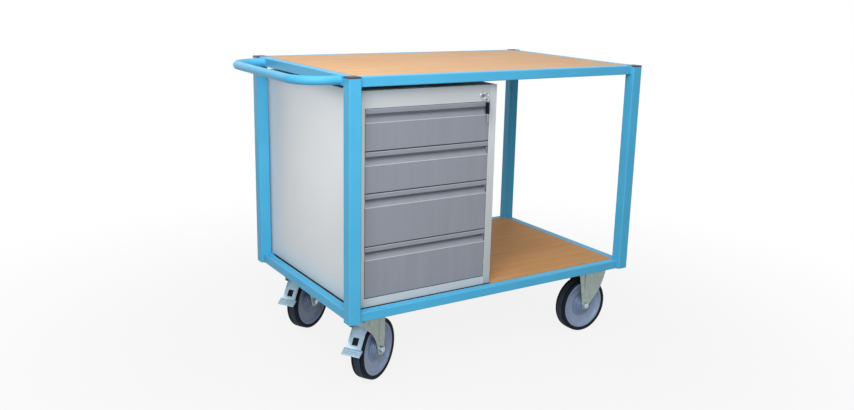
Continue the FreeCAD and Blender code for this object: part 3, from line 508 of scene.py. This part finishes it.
for kind, turn in (("swivel", YAW), ("fixed", 0.0)):
    axle = Vector((-math.sin(turn), math.cos(turn), 0))
    for end in ("front", "rear"):
        name = "%s_wheel_%s" % (kind, end)
        tyre, rim = ("%s_wheel_%s_%s" % (kind, part, end) for part in ("tyre", "rim"))
        low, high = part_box(tyre)
        centre = (low + high) / 2
        piece(tyre + "_turned", turned_mesh(tyre, tyre_profile, centre, axle, 128, TREAD),
              [rubber, worn_rubber], name, "rubber_tyre", tyre)
        # Inside DISH the rim takes the darker copy, painted shade near the hub and fork
        piece(rim + "_turned", turned_mesh(rim, rim_profile, centre, axle, 96, DISH),
              [rim_plastic, outer_rim_plastic], name, "rim_plastic", rim)


# Brake pedals: bent from zinc plated sheet, with a window, a ridged foot and a rubber brake
# pad riveted to the back. The pad's faces are those behind the sheet, from knee to heel.
# Barrel plated zinc: pale, faintly blue and satin, with cloudy patches about 12 mm wide.
satin_zinc, tree, skin, place = material("barrel_plated_zinc_satin")
cloud = noise(tree, place, 12 * MM, 4.0)
feed(tree, skin, {"Base Color": mix(tree, cloud, linear("8caabf"), linear("b8cfdf")),
                  "Roughness": spread(tree, cloud, 0.45, 0.6),
                  "Metallic": 0.5})


def plate_mesh(name, outlines, thickness, *places):
    # Flat plates across X from closed outlines of (y, z), the inner ones being holes
    work = bmesh.new()
    for x in places:
        edges = []
        for outline in outlines:
            corners = [work.verts.new((x - thickness / 2, y, z)) for y, z in outline]
            edges += [work.edges.new((a, b)) for a, b in zip(corners, corners[1:] + corners[:1])]
        bmesh.ops.triangle_fill(work, edges=edges, use_beauty=True)
    bmesh.ops.dissolve_limit(work, angle_limit=0.01, verts=work.verts, edges=work.edges)
    grown_up = bmesh.ops.extrude_face_region(work, geom=work.faces[:])["geom"]
    raised = [part for part in grown_up if isinstance(part, bmesh.types.BMVert)]
    bmesh.ops.translate(work, vec=(thickness, 0, 0), verts=raised)
    bmesh.ops.recalc_face_normals(work, faces=work.faces)
    return to_mesh(work, name)


# The kingpin's place in its bearing, and in mm, from the kingpin: the bends of the pedal's sheet as
# (forward, up), its back face, half the pad's width, and the pad's plate as (share, depth)
HEAD = 38 * MM
KNEE, HEEL = Vector((-28, 205)), Vector((-66, 141))
BACK, PAD_HALF = 0.3, 20.5
PLATE = ((0.4, 0.2), (0.9, 0.2), (0.9, 2.2), (0.4, 2.2))
low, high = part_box("swivel_bearings")
behind = Vector((KNEE.y - HEEL.y, HEEL.x - KNEE.x)).normalized()
for end, king_y in (("front", low.y + HEAD), ("rear", high.y - HEAD)):
    pedal, king = "brake_pedal_" + end, Vector((low.x + HEAD, king_y, 0))
    mesh = eased(merged(pedal), 0.6)
    for face in mesh.polygons:
        spot = Matrix.Rotation(-YAW, 3, "Z") @ (face.center - king) / MM
        depth = (Vector((spot.x, spot.z)) - KNEE).dot(behind)
        face.material_index = int(depth > BACK and abs(spot.y) < PAD_HALF)
    piece(pedal + "_eased", mesh, [satin_zinc, rubber], "pedal_" + end, "zinc_steel", pedal)
    line = [KNEE.lerp(HEEL, share) + behind * depth for share, depth in PLATE]
    mesh = plate_mesh(pedal + "_pad", [[tuple(spot * MM) for spot in line]], 26 * MM, 0.0)
    mesh.transform(Matrix.Translation(king) @ Matrix.Rotation(YAW - math.pi / 2, 4, "Z"))
    piece(pedal + "_pad", eased(mesh, 0.2), [rubber], "pedal_" + end, "rubber_tyre")


# Drawer cabinet: a shell of folded sheet steel screwed to the lower deck, with a stile down
# each front edge, a top rail with the lock and a strip below the drawers.

# Fine-textured powder coat: light grey and matt, its grain 0.5 mm wide and drawn at 2 mm. It
# comes as a paler and a darker copy of one paint: the front faces take the darker copy as painted shade,
# the sides the paler copy as painted light.
lit_and_shaded_coats = []
for finish, tones in (("powder_coated_grey_painted_light", ("f0f3f5", "f6f8f9")),
                      ("powder_coated_grey_painted_shade", ("bdc3c6", "c8cdd0"))):
    coat, tree, skin, place = material(finish)
    drift, grain = noise(tree, place, 180 * MM, 3.0), noise(tree, place, 2 * MM, 2.0)
    feed(tree, skin, {"Base Color": mix(tree, drift, linear(tones[0]), linear(tones[1])),
                      "Roughness": spread(tree, grain, 0.45, 0.6),
                      "Normal": relief(tree, grain, 0.1, 0.2 * MM)})
    lit_and_shaded_coats.append(coat)
dress(lit_and_shaded_coats[0], "cabinet_top", "cabinet_back", "slide_uprights")
# The top rail and base strip take the darker copy, painted shade
dress(lit_and_shaded_coats[1], "cabinet_top_rail", "cabinet_base")
for side in ("left", "right"):
    panel = "cabinet_side_" + side
    mesh = eased(merged(panel), 0.3)
    # Faces turned to the front take the darker copy, painted shade
    for face in mesh.polygons:
        face.material_index = int(face.normal.y < -0.5)
    piece(panel + "_eased", mesh, lit_and_shaded_coats, "frame", "light_grey_paint", panel)


# Drawer slides: three nested members of rolled galvanised strip on each side of a drawer.
# Rolled strip: grey and half matt, with faint lines along the rolling direction.
strip_zinc, tree, skin, place = material("rolled_galvanised_strip")
drawn = noise(tree, place, (2 * MM, 160 * MM, 2 * MM), 3.0)
feed(tree, skin, {"Base Color": mix(tree, drawn, linear("8c9498"), linear("b4bbbd")),
                  "Roughness": spread(tree, drawn, 0.3, 0.5),
                  "Metallic": 0.85})
dress(strip_zinc, "slide_outer_members", "lock_bar", *["slide_middle_%d" % k for k in range(1, 5)])


# Drawers: folded sheet trays behind fronts whose top edge is rolled into a full-width grip.
# Fine-textured powder coat: mid grey and matt, with faint upright streaks from the spraying,
# about 25 mm wide. Along the bends, which are the faces turned partly up, it is mixed paler as a painted
# highlight.
drawer_coat, tree, skin, place = material("powder_coated_sheet_mid_grey")
streak = noise(tree, place, (25 * MM, 25 * MM, 260 * MM), 4.0)
grain = noise(tree, place, 2 * MM, 2.0)
# Painted highlight: faces turned partly up, the bends, are mixed towards a pale grey
normal = add(tree, "ShaderNodeNewGeometry").outputs["Normal"]
facing = add(tree, "ShaderNodeSeparateXYZ", {"Vector": normal})
rise = spread(tree, facing.outputs["Z"], 0.0, 0.8, 0.1, 0.3)
fall = spread(tree, facing.outputs["Z"], 1.0, 0.0, 0.55, 0.62)
painted_bend_highlight = add(tree, "ShaderNodeMath", {0: rise, 1: fall}, operation="MULTIPLY")
sprayed = mix(tree, streak, linear("81858f"), linear("8e929c"))
feed(tree, skin, {"Base Color": mix(tree, painted_bend_highlight.outputs[0], sprayed, linear("bcc0c8")),
                  "Roughness": spread(tree, grain, 0.34, 0.46),
                  "Normal": relief(tree, grain, 0.12, 0.2 * MM)})

# The grip's end plates as (back, down) in mm from the front's top edge
GRIP = ((3, 2), (18, 2), (18, 21.5), (17, 21.5), (3, 38))
sheet = 1.5 * MM
for k in range(1, 5):
    front = "drawer_front_%d" % k
    dress(drawer_coat, front, "drawer_tray_%d" % k)
    low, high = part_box(front)
    grip = [(low.y + back * MM, high.z - down * MM) for back, down in GRIP]
    ends = plate_mesh("grip_ends_%d" % k, [grip], sheet, low.x + sheet / 2, high.x - sheet / 2)
    piece("drawer_%d_grip_ends" % k, eased(ends, 0.2), [drawer_coat], "drawer_%d" % k, "drawer_grey_paint")


# Lock: a nickel plated cylinder with a raised rosette in the top rail, its barrel and key.
# Nickel plate: bright and slightly warm, with faint polishing swirls; the barrel is duller.
plates = []
for finish, tones in (("nickel_plated_brass", ("b4b8ba", "dcdedc")),
                      ("worn_nickel_barrel", ("7d8286", "979c9f"))):
    nickel, tree, skin, place = material(finish)
    swirl = noise(tree, place, 3 * MM, 3.0, Distortion=1.5)
    feed(tree, skin, {"Base Color": mix(tree, swirl, linear(tones[0]), linear(tones[1])),
                      "Roughness": spread(tree, swirl, 0.14, 0.3),
                      "Metallic": 1.0})
    plates.append(nickel)
bright, dull = plates
eased_piece("lock_cylinder", 0.4, bright, "frame", "nickel")
eased_piece("lock_barrel", 0.3, dull, "lock", "nickel")
eased_piece("lock_key", 0.4, bright, "key", "nickel")


# Key ring and spare key: a wire ring through the bow of the key, and on it, by a small link, a
# second key with a moulded head, which hangs in front of the closed top drawer.
# Moulded nylon key head: blue-black and matt, a little paler where it is handled.
nylon, tree, skin, place = material("moulded_nylon_blue_black")
rub = noise(tree, place, 5 * MM, 3.0)
feed(tree, skin, {"Base Color": mix(tree, rub, linear("060a18"), linear("0d1528")),
                  "Roughness": 0.55,
                  "Specular IOR Level": 0.2})

low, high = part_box("key_ring")
middle, wire = (low + high) / 2, (high.y - low.y) / 2
reach = (high.x - low.x) / 2 - wire
turn = [middle + reach * Vector((math.cos(a), 0, math.sin(a))) for a in around(48)]
ring = grown(path_mesh("key_ring_wire", [turn], True), round_tube,
             {"Radius": wire, "Sides": 12, "Finish": bright})
piece("key_ring_wire", ring, [bright], "key_ring", "nickel", "key_ring")

# The link is an oval of thinner wire, and hangs on the ring this far round from its side
HUNG = math.radians(40)
loop, narrow, thin = 4.2 * MM, 2.4 * MM, 0.6 * MM
link_x = middle.x + reach * math.cos(HUNG)
link_z = middle.z - reach * math.sin(HUNG) + wire + thin - loop
turn = [Vector((link_x, middle.y + narrow * math.cos(a), link_z + loop * math.sin(a))) for a in around(32)]
link = grown(path_mesh("spare_key_link", [turn], True), round_tube,
             {"Radius": thin, "Sides": 10, "Finish": bright})
piece("spare_key_link", link, [bright], "key_ring", "nickel")

half, tall, hole, rim = 8 * MM, 38 * MM, 3 * MM, 3.5 * MM
hang = link_z - loop + thin
eye, top, foot = hang - hole, hang + rim, hang + rim - tall
head = rounded([(0, top), (half, top), (half, foot), (0, foot)], 6 * MM, 6)
head = head + [(-y, z) for y, z in reversed(head[1:-1])]
head = [(middle.y + y, z) for y, z in head]
eyelet = [(middle.y + hole * math.cos(a), eye + hole * math.sin(a)) for a in around(20)]
piece("spare_key_head", eased(plate_mesh("spare_key_head", [head, eyelet], 5.5 * MM, link_x), 0.8),
      [nylon], "key_ring", "cap_plastic")

# The blade as (across, up) in mm from the foot of the head: its root, its teeth and its plain edge
BLADE = [(-3.4, 2), (3.4, 2), (3.4, 0), (3.4, -8), (1.6, -9.5), (2.8, -12), (1.2, -14.5), (3.0, -17),
         (1.8, -20), (2.4, -23), (0.6, -26), (-1.6, -26), (-3.4, -23)]
blade = [(middle.y + y * MM, foot + z * MM) for y, z in BLADE]
piece("spare_key_blade", eased(plate_mesh("spare_key_blade", [blade], 2.2 * MM, link_x), 0.25),
      [bright], "key_ring", "nickel")


# Stage: a pale floor under a broad soft lamp over the camera's left shoulder, weaker ones
# overhead and behind, and a dim even sky. The floor looks white to the camera and keeps a
# soft shadow.
def seen_rays(tree):
    # One for rays from the camera, straight, mirrored or through glass, and nought for the rest
    path = add(tree, "ShaderNodeLightPath").outputs
    either = add(tree, "ShaderNodeMath", {0: path["Is Camera Ray"], 1: path["Is Glossy Ray"]},
                 operation="MAXIMUM")
    return add(tree, "ShaderNodeMath", {0: either.outputs[0], 1: path["Is Transmission Ray"]},
               operation="MAXIMUM").outputs[0]


stage_floor, tree, skin, place = material("pale_studio_floor")
feed(tree, skin, {"Base Color": linear("a8a8a8"), "Roughness": 0.9})
afar = add(tree, "ShaderNodeVectorMath", {0: place}, operation="LENGTH")
fade = spread(tree, afar.outputs["Value"], 0.87, 1.0, 0.7, 2.4, interpolation_type="SMOOTHSTEP")
share = add(tree, "ShaderNodeMath", {0: seen_rays(tree), 1: fade}, operation="MULTIPLY")
white = add(tree, "ShaderNodeEmission", {"Color": (1, 1, 1, 1), "Strength": 1.0})
blend = add(tree, "ShaderNodeMixShader", {0: share.outputs[0], 1: skin.outputs[0], 2: white.outputs[0]})
tree.links.new(blend.outputs[0], tree.nodes["Material Output"].inputs["Surface"])
FAR = 30.0
floor_mesh = bpy.data.meshes.new("floor")
floor_mesh.from_pydata([(-FAR, -FAR, 0), (FAR, -FAR, 0), (FAR, FAR, 0), (-FAR, FAR, 0)], [], [(0, 1, 2, 3)])
floor_mesh.materials.append(stage_floor)
floor = bpy.data.objects.new("floor", floor_mesh)
bpy.context.scene.collection.objects.link(floor)

aim = Vector((0.0, 0.0, 0.6))
for name, size, power, way, distance in (("front_lamp", 2.2, 86.0, (-0.52, -0.67, 0.57), 3.0),
                                         ("top_lamp", 2.4, 34.0, (0.0, -0.1, 1.0), 2.9),
                                         ("back_lamp", 2.0, 18.0, (-0.25, 1.0, 0.22), 3.2)):
    lamp = bpy.data.objects.new(name, bpy.data.lights.new(name, "AREA"))
    bpy.context.scene.collection.objects.link(lamp)
    lamp.data.shape, lamp.data.size, lamp.data.energy = "SQUARE", size, power
    lamp.location = aim + distance * Vector(way).normalized()
    lamp.rotation_euler = (aim - lamp.location).to_track_quat("-Z", "Y").to_euler()

world = bpy.data.worlds.new("studio")
bpy.context.scene.world = world
world.use_nodes = True
tree = world.node_tree
sky = tree.nodes["Background"]
feed(tree, sky, {"Color": (1, 1, 1, 1), "Strength": spread(tree, seen_rays(tree), 0.25, 1.0)})
bpy.context.scene.view_settings.view_transform = "Standard"


# Camera: stands off the handle end on the drawer side, a little above the deck.
# Its lens, turn and tilt bring the frame's corners onto those of the photograph.
# The photograph's size, its optical centre and the focal length, all in pixels
IMAGE, CENTRE, FOCAL = (854, 410), (448.40, 191.25), 875.448
STAND = Vector((-1642.6, -2569.4, 1277.1)) * MM
SENSOR = 36.0
camera = bpy.data.objects.new("camera", bpy.data.cameras.new("camera"))
bpy.context.scene.collection.objects.link(camera)
turn, dip, lean = (math.radians(angle) for angle in (33.843, 13.537, 1.5945))
ahead = Vector((math.sin(turn) * math.cos(dip), math.cos(turn) * math.cos(dip), -math.sin(dip)))
right = Vector((math.cos(turn), -math.sin(turn), 0.0))
up = right.cross(ahead)
right, up = right * math.cos(lean) + up * math.sin(lean), up * math.cos(lean) - right * math.sin(lean)
camera.matrix_world = Matrix.Translation(STAND) @ Matrix((right, up, -ahead)).transposed().to_4x4()
camera.data.sensor_width = SENSOR
camera.data.lens = SENSOR * FOCAL / IMAGE[0]
camera.data.shift_x = (IMAGE[0] / 2 - CENTRE[0]) / IMAGE[0]
camera.data.shift_y = (CENTRE[1] - IMAGE[1] / 2) / IMAGE[0]
bpy.context.scene.camera = camera
